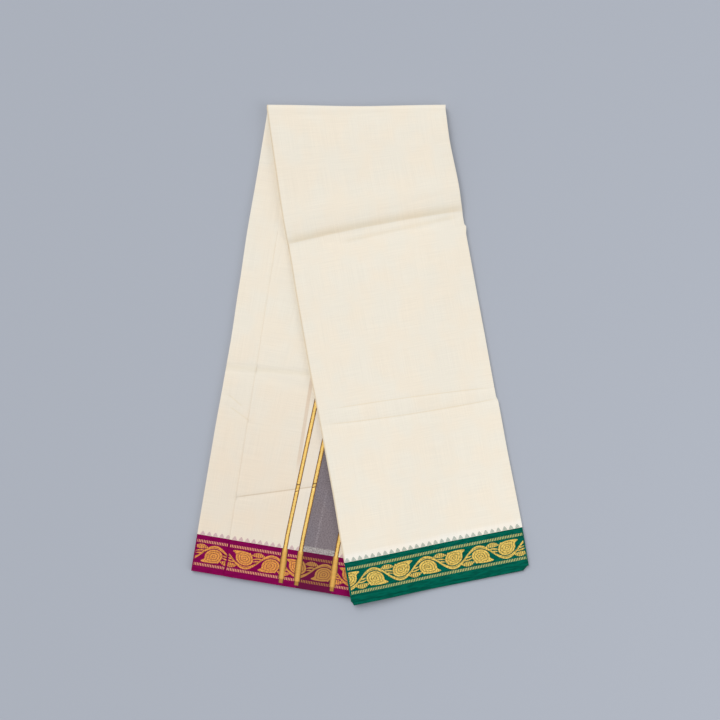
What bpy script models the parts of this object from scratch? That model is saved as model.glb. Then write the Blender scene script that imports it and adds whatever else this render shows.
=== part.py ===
"""A cotton dhoti with a green border on one selvedge and a magenta border on the other.

The cloth is pressed lengthwise into a strip of sixteen layers, as wide as one panel and as long
as the cloth is wide. The strip is then folded once across, a little askew, and lies flat, so its
two legs fan out: the front leg leans right over the back leg, which leans left. The outermost
layer runs down the front leg, round the fold and back along the underside. The layers inside it
share one rounded solid with lobed edges. The cloth's end lies loose between the two legs.
Units are metres, +Z is up, and the fold runs along X at the far side.
"""

import math

import bmesh
import bpy
from mathutils import Vector

MM = 0.001

# The cut of the cloth and the strip it is pressed into
CLOTH_WIDTH = 1250 * MM
CLOTH_LENGTH = 3740 * MM
PRESSED_PANELS = 16
STRIP_WIDTH = CLOTH_LENGTH / PRESSED_PANELS
LENGTH_IN_BEND = 4.4 * MM
LEG_LENGTH = CLOTH_WIDTH / 2 - LENGTH_IN_BEND
BORDER_WIDTH = 48 * MM
WIDTH_LOST_AT_FOLD = 7 * MM

# Heights, counted as distance from the middle plane of the folded strip
WALL = 1.0 * MM
SEAM_GAP = 0.3 * MM
CORE_THICKNESS = 4.0 * MM
CORE_INNER = WALL / 2 + SEAM_GAP
CORE_OUTER = CORE_INNER + CORE_THICKNESS
WRAP_INNER = CORE_OUTER + SEAM_GAP
WRAP_OUTER = WRAP_INNER + WALL
MIDDLE_HEIGHT = WRAP_OUTER

# How each leg lies: its lean from straight down, the slope of its selvedge end, how far it bows
# sideways below the fold, and how much longer than LEG_LENGTH the fold's place makes it
LEGS = {
    "front": {
        "lean": math.radians(10.0), "end_slope": math.radians(11.2), "bow": -4.0 * MM, "longer": 1.5 * MM,
    },
    "back": {
        "lean": math.radians(-9.1), "end_slope": math.radians(-9.2), "bow": 0 * MM, "longer": -1.5 * MM,
    },
}
SKEW_FADES_BY = 150 * MM
SEAM = LEG_LENGTH - BORDER_WIDTH
FRONT_TOP_LAYER_SHORT = 5.5 * MM
FRONT_TOP_END = LEG_LENGTH - FRONT_TOP_LAYER_SHORT
FRONT_TOP_SEAM = FRONT_TOP_END - BORDER_WIDTH
LOOSE_END_INSET_LEFT = 41 * MM
LOOSE_END_INSET_RIGHT = 4 * MM
LOOSE_END_CLEAR_OF_FOLD = 9 * MM

# Where the front leg leaves the back leg it sags to the table
SAG_STARTS = 10 * MM
SAG_RUNS = 45 * MM
SAG_DROP = MIDDLE_HEIGHT + CORE_INNER

# The pressed stack springs open a little just below the fold
SWELL_HEIGHT = 1.2 * MM
SWELL_PEAK_AT = 45 * MM

# Storage creases: distance from the selvedge at the left and right side, how far the middle bows
# towards the fold, the trough's depth and its half width
CREASES = {
    "front": (
        {"left": 468 * MM, "right": 472 * MM, "bow": 4 * MM, "depth": 1.3 * MM, "spread": 9 * MM},
        {"left": 236 * MM, "right": 223 * MM, "bow": -4 * MM, "depth": 0.6 * MM, "spread": 6 * MM},
    ),
    "back": (
        {"left": 266 * MM, "right": 250 * MM, "bow": 0 * MM, "depth": 0.5 * MM, "spread": 8 * MM},
    ),
}

# Rounded rims and lobed edges: how far each lobe of the inner layers stands out
RIM_ROUNDING = 0.3 * MM
VALLEY_DEPTH = 0.9 * MM
LOBE_SHOULDER = 0.22
LOBES = (
    {"side": -0.6 * MM, "end": -1.4 * MM},
    {"side": 0.5 * MM, "end": 0.4 * MM},
    {"side": -0.9 * MM, "end": -0.8 * MM},
    {"side": 0.0 * MM, "end": 0.0 * MM},
)

# Mesh density
COLUMNS = 14
LOOSE_END_COLUMNS = 12
BEND_STEPS = 7
LEG_ROW = 42 * MM
CREASE_STEPS = (-1.3, 0, 1.3)
BORDER_STEPS = (1, 2 / 3, 1 / 3, 0)

CREAM = (0.86, 0.78, 0.62, 1.0)
GREEN = (0.0, 0.17, 0.10, 1.0)
MAGENTA = (0.30, 0.0, 0.10, 1.0)


def smooth(x):
    """0 below 0, 1 above 1, and an even S between."""
    x = min(1.0, max(0.0, x))
    return x * x * (3 - 2 * x)


def strip_width(v):
    """The strip's width at the distance v from the fold."""
    return STRIP_WIDTH - WIDTH_LOST_AT_FOLD * (1 - v / LEG_LENGTH)


def bow(leg, v):
    """How far the leg's middle line lies off the straight, most at a third of the way down."""
    share = v / LEG_LENGTH
    return LEGS[leg]["bow"] * share * (1 - share) ** 2 * 27 / 4


def plan(leg, u, v):
    """Where a point lies on the table: u across the strip from its middle, v down the leg."""
    lean, end_slope = LEGS[leg]["lean"], LEGS[leg]["end_slope"]
    fade = max(0.0, 1 - v / SKEW_FADES_BY) ** 2
    fold_skew = u * math.tan(lean) * fade
    end_skew = u * (math.tan(lean) - math.tan(end_slope)) * (v / LEG_LENGTH) ** 2
    along = v * (1 + LEGS[leg]["longer"] / LEG_LENGTH) + fold_skew + end_skew
    across = u + bow(leg, v)
    x = along * math.sin(lean) + across * math.cos(lean)
    y = -along * math.cos(lean) + across * math.sin(lean)
    return x, y


def crease_depth(leg, u, v):
    """How far the creases push the leg's upper surface down."""
    total = 0.0
    half = strip_width(v) / 2
    for crease in CREASES[leg]:
        share = (u + half) / (2 * half)
        from_end = crease["left"] + (crease["right"] - crease["left"]) * share
        from_end += crease["bow"] * 4 * share * (1 - share)
        off = (LEG_LENGTH - v - from_end) / crease["spread"]
        total += crease["depth"] * math.exp(-off * off)
    return total


def swell(v):
    """How far the front leg's upper surface springs up below the fold."""
    reach = v / SWELL_PEAK_AT
    return SWELL_HEIGHT * reach * reach * math.exp(2 - 2 * reach)


def sag(x, y):
    """How far the front leg has dropped at a point beside the back leg."""
    lean = LEGS["back"]["lean"]
    beside = x * math.cos(lean) + y * math.sin(lean) - STRIP_WIDTH / 2
    return SAG_DROP * smooth((beside - SAG_STARTS) / SAG_RUNS)


def point(station, u, r):
    """A point of the folded strip. station is (leg, v) or ("bend", angle), and r is the distance
    from the middle plane: upwards in the front leg, downwards in the back leg."""
    where, value = station
    if where == "bend":
        share = value / math.pi
        back_x, front_x = plan("back", u, 0)[0], plan("front", u, 0)[0]
        x = back_x + (front_x - back_x) * share
        return Vector((x, r * math.sin(value), MIDDLE_HEIGHT - r * math.cos(value)))
    x, y = plan(where, u, value)
    if where == "back":
        share = min(1.0, max(0.0, (WRAP_INNER - r) / (WRAP_INNER - CORE_INNER)))
        return Vector((x, y, MIDDLE_HEIGHT - r - crease_depth("back", u, value) * share))
    share = min(1.0, max(0.0, (r - CORE_INNER) / CORE_THICKNESS))
    lift = (swell(value) - crease_depth("front", u, value)) * share
    return Vector((x, y, MIDDLE_HEIGHT + r + lift - sag(x, y)))


def leg_rows(leg):
    """The distances from the fold at which every piece on a leg has its rows of points."""
    seam = FRONT_TOP_SEAM if leg == "front" else SEAM
    count = round(seam / LEG_ROW)
    places = [seam * n / count for n in range(count)]
    for crease in CREASES[leg]:
        middle = LEG_LENGTH - (crease["left"] + crease["right"]) / 2 - crease["bow"] / 2
        across = [middle + crease["spread"] * step for step in CREASE_STEPS]
        near = (across[-1] - across[0]) / 2 + crease["spread"] / 2
        places = [v for v in places if abs(v - middle) > near] + across
    border = [LEG_LENGTH - BORDER_WIDTH * step for step in BORDER_STEPS]
    if leg == "front":
        border += [FRONT_TOP_SEAM, FRONT_TOP_END]
    return sorted(places + border)


def stretch(leg, start, end):
    """Stations down a leg from start to end, on the leg's own rows in between."""
    inside = [v for v in leg_rows(leg) if start + 2 * SEAM_GAP < v < end - 2 * SEAM_GAP]
    return [(leg, v) for v in [start] + inside + [end]]


def wrapped(back_end, front_end):
    """Stations from the back leg's end, up over the fold and down to the front leg's end."""
    bend = [("bend", math.pi * n / BEND_STEPS) for n in range(1, BEND_STEPS)]
    return list(reversed(stretch("back", 0, back_end))) + bend + stretch("front", 0, front_end)


def wall_levels(inner, outer):
    """The levels of a single wall, with a rounded rim: distance from the middle plane, and lip."""
    quarter = (outer - inner) / 4
    rim, flush = {"side": -RIM_ROUNDING, "end": -RIM_ROUNDING}, {"side": 0.0, "end": 0.0}
    return [(inner, rim), (inner + quarter, flush), (outer - quarter, flush), (outer, rim)]


def core_levels():
    """The levels of the inner layers: a valley, two shoulders of a lobe, a valley, and so on."""
    pitch = CORE_THICKNESS / len(LOBES)
    valleys = [{way: lobe[way] - VALLEY_DEPTH for way in lobe} for lobe in LOBES]
    levels = [(CORE_INNER, valleys[0])]
    for n, lobe in enumerate(LOBES):
        base = CORE_INNER + pitch * n
        levels.append((base + pitch * LOBE_SHOULDER, lobe))
        levels.append((base + pitch * (1 - LOBE_SHOULDER), lobe))
        levels.append((base + pitch, valleys[n]))
    return levels


def subdivide_along(bm, axis, pieces):
    """Splits a unit cube's edges that run along one axis into equal pieces."""
    if pieces < 2:
        return
    long_edges = [e for e in bm.edges if abs(e.verts[0].co[axis] - e.verts[1].co[axis]) > 0.5]
    bmesh.ops.subdivide_edges(bm, edges=long_edges, cuts=pieces - 1, use_grid_fill=True)


def split_quads_alike(bm, index_of):
    """Cuts every quad from its first corner to its last, so stacked pieces have matching facets."""
    for face in list(bm.faces):
        corners = sorted(face.verts, key=lambda v: sum(index_of[v]))
        bmesh.utils.face_split(face, corners[0], corners[-1])


def cloth_block(name, colour, stations, levels, columns=COLUMNS, inset=(0.0, 0.0), selvedge=False):
    """A cube, subdivided and shaped into a stretch of the folded strip.

    stations run along it, levels through it and columns across it. inset takes that much off its
    left and right side, and selvedge says that its last station is a selvedge and not a seam.
    """
    bm = bmesh.new()
    bmesh.ops.create_cube(bm, size=1.0)
    counts = (columns, len(stations) - 1, len(levels) - 1)
    for axis, pieces in enumerate(counts):
        subdivide_along(bm, axis, pieces)
    index_of = {}
    for vert in bm.verts:
        index_of[vert] = tuple(round((vert.co[a] + 0.5) * counts[a]) for a in range(3))
    for vert, (i, j, k) in index_of.items():
        where, value = stations[j]
        r, lip = levels[k]
        half = strip_width(0 if where == "bend" else value) / 2
        left, right = -half + inset[0], half - inset[1]
        if i == 0:
            left -= lip["side"]
        if i == columns:
            right += lip["side"]
        if selvedge and j == counts[1]:
            value += lip["end"]
        u = left + (right - left) * i / columns
        vert.co = point((where, value), u, r)
    split_quads_alike(bm, index_of)
    if bm.calc_volume(signed=True) < 0:
        bmesh.ops.reverse_faces(bm, faces=bm.faces)
    mesh = bpy.data.meshes.new(name)
    bm.to_mesh(mesh)
    bm.free()
    mesh.materials.append(colour)
    obj = bpy.data.objects.new(name, mesh)
    dhoti.objects.link(obj)
    return obj


def dyed_cotton(name, colour, roughness):
    """A plain cotton in one colour."""
    material = bpy.data.materials.new(name)
    material.use_nodes = True
    shader = material.node_tree.nodes["Principled BSDF"]
    shader.inputs["Base Color"].default_value = colour
    shader.inputs["Roughness"].default_value = roughness
    shader.inputs["Metallic"].default_value = 0.0
    return material


def centre_on_table(objects):
    """Moves all pieces together, so that the middle of the whole lies over the origin."""
    corners = [v.co for obj in objects for v in obj.data.vertices]
    for axis in (0, 1):
        middle = (min(c[axis] for c in corners) + max(c[axis] for c in corners)) / 2
        for obj in objects:
            obj.location[axis] -= middle


for old in list(bpy.data.objects):
    bpy.data.objects.remove(old)

dhoti = bpy.data.collections.new("dhoti")
bpy.context.scene.collection.children.link(dhoti)

cream_cotton = dyed_cotton("cream_cotton", CREAM, 0.85)
green_cotton = dyed_cotton("green_cotton", GREEN, 0.6)
magenta_cotton = dyed_cotton("magenta_cotton", MAGENTA, 0.6)

wrap = wall_levels(WRAP_INNER, WRAP_OUTER)
core = core_levels()
loose = wall_levels(-WALL / 2, WALL / 2)
loose_inset = (LOOSE_END_INSET_LEFT, LOOSE_END_INSET_RIGHT)
past_seam = SEAM + SEAM_GAP

# The outermost layer: front face, fold and underside, with a border at each end
cloth_block("outer_cloth", cream_cotton, wrapped(SEAM, FRONT_TOP_SEAM), wrap)
front_border = stretch("front", FRONT_TOP_SEAM + SEAM_GAP, FRONT_TOP_END)
cloth_block("green_border", green_cotton, front_border, wrap, selvedge=True)
back_border = stretch("back", past_seam, LEG_LENGTH)
cloth_block("underside_magenta_border", magenta_cotton, back_border, wrap, selvedge=True)

# The layers inside it, folded over with it, and their dyed ends
cloth_block("inner_layers", cream_cotton, wrapped(SEAM, SEAM), core)
front_ends = stretch("front", past_seam, LEG_LENGTH)
cloth_block("inner_green_ends", green_cotton, front_ends, core, selvedge=True)
cloth_block("inner_magenta_ends", magenta_cotton, back_border, core, selvedge=True)

# The cloth's loose end, between the legs, on top of the back leg
loose_stretch = stretch("back", LOOSE_END_CLEAR_OF_FOLD, SEAM)
cloth_block("loose_end", cream_cotton, loose_stretch, loose, LOOSE_END_COLUMNS, loose_inset)
cloth_block("magenta_border", magenta_cotton, back_border, loose, LOOSE_END_COLUMNS, loose_inset, True)

centre_on_table(list(dhoti.objects))
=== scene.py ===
"""A cotton dhoti, pressed into a strip, folded once across and laid flat, seen from straight above.

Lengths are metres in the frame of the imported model: +X runs right, +Y towards the fold, and +Z up
from the table. "Across" is a place across the pressed strip, from its middle, and "down" a place
along a leg, from the fold.
"""

import math

import bmesh
import bpy
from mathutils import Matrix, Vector, noise


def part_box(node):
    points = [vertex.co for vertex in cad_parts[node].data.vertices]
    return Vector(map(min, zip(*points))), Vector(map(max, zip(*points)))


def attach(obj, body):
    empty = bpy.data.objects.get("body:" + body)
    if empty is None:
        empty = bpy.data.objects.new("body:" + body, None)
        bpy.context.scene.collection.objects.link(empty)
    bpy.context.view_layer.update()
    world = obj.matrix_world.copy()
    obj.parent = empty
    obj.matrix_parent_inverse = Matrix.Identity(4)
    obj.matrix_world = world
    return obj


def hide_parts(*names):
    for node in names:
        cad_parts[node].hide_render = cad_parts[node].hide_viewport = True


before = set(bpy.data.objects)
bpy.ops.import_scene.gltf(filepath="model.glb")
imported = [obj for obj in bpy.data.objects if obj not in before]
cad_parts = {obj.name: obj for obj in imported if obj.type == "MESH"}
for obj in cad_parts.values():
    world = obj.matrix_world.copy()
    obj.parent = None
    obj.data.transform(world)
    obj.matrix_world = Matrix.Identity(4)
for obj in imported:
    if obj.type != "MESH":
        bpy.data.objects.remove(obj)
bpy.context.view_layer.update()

# Outer cloth: the panel of cream cotton that is outermost in the pressed strip. It runs down the
# front leg, round the fold and back along the underside, folded over on itself at both sides, so
# it is a flat tube of two layers. Its storage creases run across it.

MM = 0.001
CLOTH_WIDTH = 1250 * MM
CLOTH_LENGTH = 3740 * MM
PRESSED_PANELS = 16
STRIP_WIDTH = CLOTH_LENGTH / PRESSED_PANELS
LEG_LENGTH = CLOTH_WIDTH / 2 - 4.4 * MM
BORDER_WIDTH = 48 * MM
WIDTH_LOST_AT_FOLD = 7 * MM
SEAM = LEG_LENGTH - BORDER_WIDTH
GREEN_BORDER_WIDTH = 50.3 * MM
FRONT_TOP_END = LEG_LENGTH - 5.3 * MM
FRONT_TOP_SEAM = FRONT_TOP_END - GREEN_BORDER_WIDTH
THREAD_ROOM = 0.12 * MM
COTTON = 0.28 * MM
MERGES_UNDER = 0.002 * MM
SMOOTH_UNDER = math.radians(50)
# Faces round each soft fold, across the side of a panel that doesn't show, and across one that does
ARC_FACES, PLAIN_FACES, FINE_FACES = 6, 14, 64

# Distances from the middle plane between the two legs
CORE_INNER, CORE_OUTER = 0.8 * MM, 4.8 * MM
WRAP_INNER, WRAP_OUTER = 5.1 * MM, 6.1 * MM
MIDDLE_HEIGHT = WRAP_OUTER
LOOSE_HALF = 0.5 * MM

LEGS = {
    "front": {
        "lean": math.radians(10.0), "end_slope": math.radians(11.2), "bow": -4.0 * MM, "longer": 3.3 * MM,
    },
    "back": {
        "lean": math.radians(-9.1), "end_slope": math.radians(-9.3), "bow": 0.9 * MM, "longer": -0.9 * MM,
    },
}
SKEW_FADES_BY = 150 * MM
# A leg's bow is greatest a third of the way down, where share * (1 - share) ** 2 is 4/27
BOW_TO_ONE = 27 / 4
FOLD_DIP, FOLD_DIP_AT, FOLD_DIP_HALF = 1.9 * MM, 2 * MM, 68 * MM
# The lowest layer drops beside the back leg; the topmost bridges the step in a longer slope
SAG_STARTS, SAG_RUNS = {"lowest": 10 * MM, "topmost": -10 * MM}, {"lowest": 45 * MM, "topmost": 110 * MM}
SAG_DROP = MIDDLE_HEIGHT + CORE_INNER
SWELL_HEIGHT, SWELL_PEAK_AT = 1.2 * MM, 45 * MM

# Creases run from a left to a right end, across and down at each end, with a bow of the middle
# towards the fold. Each is a step: the cloth drops to its depth over "above", and recovers over
# "below". Broad ones go through the stack, and fine ones lie in the layer that shows. Millimetres.
BROAD_CREASES = {
    "front": (
        dict(left=(-117, 155.4), right=(117, 152), bow=3, depth=2.5, above=7.5, below=40),
        dict(left=(-117, 127), right=(117, 123), bow=4, depth=-0.8, above=16, below=16),
        dict(left=(-117, 387), right=(117, 399), bow=-2, depth=0.35, above=6, below=12),
    ),
    "back": (
        dict(left=(-117, 354.6), right=(117, 370.6), depth=0.5, above=8, below=8),
    ),
}
FINE_CREASES = {
    "front": (
        dict(left=(-114, 154.4), right=(-60, 152.0), depth=0.50, above=2.4, below=12),
        dict(left=(-60, 152.2), right=(75, 150.8), bow=1.5, depth=0.55, above=2.8, below=12),
        dict(left=(-40, 164.6), right=(92, 159.0), depth=0.50, above=3.0, below=8),
        dict(left=(-116, 141.0), right=(-102, 146.0), depth=0.35, above=1.6, below=2.4),
        dict(left=(60, 128.0), right=(112, 126.0), depth=0.22, above=2.0, below=4),
        dict(left=(-103, 390.0), right=(112, 397), bow=-2.5, depth=0.40, above=1.7, below=1.7),
        dict(left=(-92, 371.5), right=(109, 381.5), bow=1.5, depth=0.30, above=1.8, below=1.8),
        dict(left=(-114, 8.0), right=(30, 5.0), depth=0.25, above=1.4, below=1.4),
    ),
    "back": (
        dict(left=(-108, 353.5), right=(-5, 346.0), depth=0.85, above=4.2, below=4.2),
        dict(left=(-74, 518.0), right=(50, 479.6), depth=0.75, above=1.9, below=3.4),
        dict(left=(-107, 389.5), right=(-88, 401.0), depth=0.40, above=1.7, below=1.9),
        dict(left=(-103, 404.5), right=(-70, 420.5), depth=0.40, above=1.6, below=1.8),
    ),
}
CREASE_FADE = 12 * MM
# Each falls off as a bell, but more pointed above one that recovers slowly
POINTED, BELL, RECOVERS_SLOWLY = 1.3, 2, 1.5

# Ripples: how many to a metre across and along, and how high. They start beyond the fold's edge.
RIPPLES = (
    {"across": 16, "along": 11, "seed": 0.3, "height": 0.10 * MM},
    {"across": 45, "along": 30, "seed": 4.7, "height": 0.05 * MM},
)
RIPPLES_FULL_FROM = 50 * MM

# How far the sides of each leg lie from straight, at distances down it, in millimetres
SIDES = {
    "front": {
        "left": {
            0: 0, 45: 0, 122: -0.3, 148: 0.2, 159: 0.8, 168.5: 0.9, 171: 1.0, 183: 1.1,
            216: 0.8, 300: 0.7, 393: 1.3, 400: 1.3, 470: 1.2, 550: 0, 616: 0,
        },
        "right": {
            0: -1.4, 45: -1.7, 122: 1.2, 148: 0.7, 159: 0.2, 168.5: 0.1, 171: 2.0, 183: 0.3,
            216: 0.4, 300: 0.3, 393: -0.7, 400: 0.9, 470: 0.1, 550: 0.4, 616: -0.6,
        },
    },
    "back": {
        "left": {0: 0, 90: -0.3, 175: -1.2, 250: 0, 320: 1.1, 360: 0.8, 440: 0},
        "right": {0: 0},
    },
}


def smooth(x):
    """0 below 0, 1 above 1, and an even S between."""
    x = min(1.0, max(0.0, x))
    return x * x * (3 - 2 * x)


def strip_width(v):
    """The pressed strip's width at a distance down a leg."""
    return STRIP_WIDTH - WIDTH_LOST_AT_FOLD * (1 - v / LEG_LENGTH)


def plan(leg, u, v):
    """Where a place across and down a leg lies on the table, from the middle of the fold."""
    shape = LEGS[leg]
    lean, share = shape["lean"], v / LEG_LENGTH
    fade = max(0.0, 1 - v / SKEW_FADES_BY) ** 2
    end_skew = u * (math.tan(lean) - math.tan(shape["end_slope"])) * share ** 2
    along = v * (1 + shape["longer"] / LEG_LENGTH) + u * math.tan(lean) * fade + end_skew
    across = u + shape["bow"] * share * (1 - share) ** 2 * BOW_TO_ONE
    return along * math.sin(lean) + across * math.cos(lean), across * math.sin(lean) - along * math.cos(lean)


def troughs(creases, u, v):
    """How deep a place lies in a leg's creases."""
    depth = 0.0
    for crease in creases:
        (u0, v0), (u1, v1) = crease["left"], crease["right"]
        length = math.hypot(u1 - u0, v1 - v0) * MM
        run_u, run_v = (u1 - u0) * MM / length, (v1 - v0) * MM / length
        along = (u - u0 * MM) * run_u + (v - v0 * MM) * run_v
        share = min(1.0, max(0.0, along / length))
        bow = crease.get("bow", 0) * MM * 4 * share * (1 - share)
        off = (v - v0 * MM) * run_u - (u - u0 * MM) * run_v + bow
        past = max(-along, along - length, 0.0)
        if past < CREASE_FADE:
            reach = off / (crease["above"] * MM) if off < 0 else off / (crease["below"] * MM)
            slow = crease["below"] > RECOVERS_SLOWLY * crease["above"]
            profile = math.exp(-(abs(reach) ** (POINTED if slow and off < 0 else BELL)))
            depth += crease["depth"] * MM * profile * (1 - smooth(past / CREASE_FADE))
    return depth


def ripple(u, v):
    """How high a place stands in the slight unevenness of pressed cotton."""
    return sum(noise.noise(Vector((u * wave["across"], v * wave["along"], wave["seed"]))) * wave["height"]
               for wave in RIPPLES)


def sag(x, y, share):
    """How far the front leg has dropped at a place beside the back leg: share is 0 in its lowest
    layer and 1 in its topmost."""
    lean = LEGS["back"]["lean"]
    beside = x * math.cos(lean) + y * math.sin(lean) - STRIP_WIDTH / 2
    starts = SAG_STARTS["lowest"] * (1 - share) + SAG_STARTS["topmost"] * share
    runs = SAG_RUNS["lowest"] * (1 - share) + SAG_RUNS["topmost"] * share
    return SAG_DROP * smooth((beside - starts) / runs)


def fold_dip(u, v):
    """How far the fold's edge, pressed by hand, lies back from straight."""
    dip = FOLD_DIP * math.exp(-(((u - FOLD_DIP_AT) / FOLD_DIP_HALF) ** 2))
    return dip * (1 - smooth(v / SKEW_FADES_BY))


def spot(station, u, r, skin=0.0):
    """A point of the folded strip, before it is set in place: station is (leg, down) or ("bend",
    angle), r is the distance from the middle plane, and skin is 1 on the side that shows."""
    where, value = station
    if where == "bend":
        share = value / math.pi
        x = plan("back", u, 0)[0] * (1 - share) + plan("front", u, 0)[0] * share
        return Vector((x, r * math.sin(value) - fold_dip(u, 0), MIDDLE_HEIGHT - r * math.cos(value)))
    x, y = plan(where, u, value)
    y -= fold_dip(u, value)
    broad, fine = troughs(BROAD_CREASES[where], u, value), 0.0
    if skin:
        ripples = ripple(u, value) * smooth(value / RIPPLES_FULL_FROM)
        fine = skin * (troughs(FINE_CREASES[where], u, value) - ripples)
    if where == "back":
        share = min(1.0, max(0.0, (WRAP_INNER - r) / (WRAP_INNER - CORE_INNER)))
        return Vector((x, y, MIDDLE_HEIGHT - r - broad * share - fine))
    share = min(1.0, max(0.0, (r - CORE_INNER) / (CORE_OUTER - CORE_INNER)))
    reach = value / SWELL_PEAK_AT
    swell = SWELL_HEIGHT * reach * reach * math.exp(2 - 2 * reach)
    return Vector((x, y, MIDDLE_HEIGHT + r + (swell - broad) * share - sag(x, y, share) - fine))


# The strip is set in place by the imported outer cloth: its far edge and its left end
cloth_low, cloth_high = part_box("outer_cloth")
left_end = plan("back", -strip_width(SEAM) / 2, SEAM)[0]
FOLD_MIDDLE = Vector((cloth_low.x - left_end, cloth_high.y - WRAP_OUTER, 0))


def side_shift(leg, v, side):
    """How far a side of a leg lies from straight."""
    shifts = list(SIDES[leg][side].items())
    for (upper, shift), (lower, next_shift) in zip(shifts, shifts[1:]):
        if v <= lower * MM:
            return (shift + (next_shift - shift) * smooth((v / MM - upper) / (lower - upper))) * MM
    return shifts[-1][1] * MM


def sides_at(station):
    """The left and right side of the strip's outermost panel at a station."""
    leg, v = station
    if leg == "bend":
        share = v / math.pi
        half, v = strip_width(0) / 2, 0
    else:
        share, half = float(leg == "front"), strip_width(v) / 2
    left, right = (side_shift("back", v, side) * (1 - share) + side_shift("front", v, side) * share
                   for side in ("left", "right"))
    return -half + left, half + right


def steps(start, end, count):
    """Even steps from start to end, with both ends."""
    return [start + (end - start) * n / count for n in range(count + 1)]


def cloth_run(station, r):
    """How far along the cloth's width a station is, counted from where the front leg leaves the fold."""
    where, value = station
    if where == "front":
        return value
    return -(math.pi - value) * r if where == "bend" else -math.pi * r - value


def woven_tube(name, columns, rows, place):
    """A tube of cloth, whose last column meets its first. place(i, j) gives the point and the place
    in the weave of column i, row j."""
    bpy.ops.object.select_all(action="DESELECT")
    bpy.ops.mesh.primitive_grid_add(x_subdivisions=columns, y_subdivisions=rows, size=1)
    sheet = bpy.context.object
    sheet.name = sheet.data.name = name
    mesh = sheet.data
    places = [place(round((v.co.x + 0.5) * columns), round((v.co.y + 0.5) * rows)) for v in mesh.vertices]
    for vert, (point, _) in zip(mesh.vertices, places):
        vert.co = point + FOLD_MIDDLE
    weave = mesh.uv_layers.active
    weave.name = "weave"
    for loop in mesh.loops:
        weave.data[loop.index].uv = places[loop.vertex_index][1]
    bpy.ops.object.mode_set(mode="EDIT")
    bpy.ops.mesh.select_all(action="SELECT")
    bpy.ops.mesh.remove_doubles(threshold=MERGES_UNDER)
    bpy.ops.mesh.normals_make_consistent(inside=False)
    bpy.ops.object.mode_set(mode="OBJECT")
    return sheet


def thicken(sheet, thickness):
    """Gives a sheet its thickness, inwards from the side that shows."""
    bpy.context.view_layer.objects.active = sheet
    wall = sheet.modifiers.new("wall", "SOLIDIFY")
    wall.thickness, wall.offset = thickness, -1
    bpy.ops.object.modifier_apply(modifier=wall.name)
    bpy.ops.object.shade_smooth_by_angle(angle=SMOOTH_UNDER)


def flat_tube(name, stations, inner, outer, sides, columns, skin, weave_across=None):
    """Two layers of a panel, joined by soft folds at both sides. skin is ("outer" or "inner", leg),
    the side of it that shows, and columns the number of faces across that side. The weave is
    counted across from the middle, up to the same number at both sides, or by weave_across(u, v)."""
    middle, radius = (inner + outer) / 2, (outer - inner) / 2
    bend = [(radius * math.cos(a), radius * math.sin(a)) for a in steps(0, math.pi, ARC_FACES)]
    ring = [(s, radius, 1.0, 0.0) for s in steps(-1, 1, columns if skin[0] == "outer" else PLAIN_FACES)]
    ring += [(1, off, 0.5, out) for off, out in bend[1:-1]]
    ring += [(s, -radius, -1.0, 0.0) for s in steps(1, -1, columns if skin[0] == "inner" else PLAIN_FACES)]
    ring += [(-1, -off, -0.5, -out) for off, out in bend[1:]]

    def place(i, j):
        station = stations[j]
        leg, value = station
        span, off, face, out = ring[i]
        left, right = sides(station)
        u = (left + right) / 2 + span * ((right - left) / 2 - radius) + out
        showing = leg == skin[1] and face == (1.0 if skin[0] == "outer" else -1.0)
        weave = weave_across(u, value) if weave_across else span * STRIP_WIDTH / 2
        return spot(station, u, middle + off, 1.0 if showing else 0.0), (weave, cloth_run(station, middle))

    tube = woven_tube(name, len(ring) - 1, len(stations) - 1, place)
    thicken(tube, COTTON)
    return tube


CREAM = (0.868, 0.805, 0.692)
WHITER_CREAM = (0.905, 0.860, 0.775)
# Painted shade on the rounded fold at the left side
FOLD_SHADE_CREAM = (0.74, 0.63, 0.47)
WARM_CLOUD, COOL_CLOUD = (1.015, 0.993, 0.968), (0.990, 1.0, 1.005)
WHITE_STRIP = 9 * MM
# Where the painted fold shade starts and where it is full, in from the left side
FOLD_SHADE_FROM, FOLD_SHADE_FULL = 2.2 * MM, 0.2 * MM
THREAD_PITCH, THREAD_SHARE, WEAVE_DEPTH = 0.45 * MM, 0.25, 0.15 * MM
# How long uneven yarn and cloudy patches are across and along the weave, and the noise they use
WARP_YARN, WEFT_YARN, YARN_NOISE = (0.7 * MM, 60 * MM), (45 * MM, 0.8 * MM), (0.6, 1.4)
CLOUDS, CLOUD_NOISE = (36 * MM, 46 * MM), (0.35, 0.65)
# Painted shade along the creases, in warm tones
SOFT_SHADE_TAN, CREASE_SHADE_TAN = (0.845, 0.77, 0.64), (0.825, 0.735, 0.585)
CREASE_SHADE_BROWN = (0.66, 0.55, 0.42)


def add_node(tree, kind, links=(), **settings):
    """Adds a shader node, sets its properties, and links sockets into it: (socket, input name)."""
    node = tree.nodes.new(kind)
    for name, value in settings.items():
        setattr(node, name, value)
    for socket, name in links:
        tree.links.new(socket, node.inputs[name])
    return node


def maths(tree, operation, first, second=None):
    """A Math node on sockets or numbers."""
    node = add_node(tree, "ShaderNodeMath", operation=operation)
    for slot, value in enumerate((first, second)):
        if isinstance(value, (int, float)):
            node.inputs[slot].default_value = value
        elif value is not None:
            tree.links.new(value, node.inputs[slot])
    return node.outputs[0]


def ramp(tree, value, low, high, to_low=0.0, to_high=1.0):
    """A smooth step of a value from low to high."""
    node = add_node(tree, "ShaderNodeMapRange", [(value, "Value")], interpolation_type="SMOOTHSTEP")
    for name, number in (("From Min", low), ("From Max", high), ("To Min", to_low), ("To Max", to_high)):
        node.inputs[name].default_value = number
    return node.outputs[0]


def band(tree, value, low, high, soft):
    """1 where a value lies between low and high, and 0 elsewhere."""
    starts, ends = ramp(tree, value, low - soft, low + soft), ramp(tree, value, high + soft, high - soft)
    return maths(tree, "MULTIPLY", starts, ends)


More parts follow.
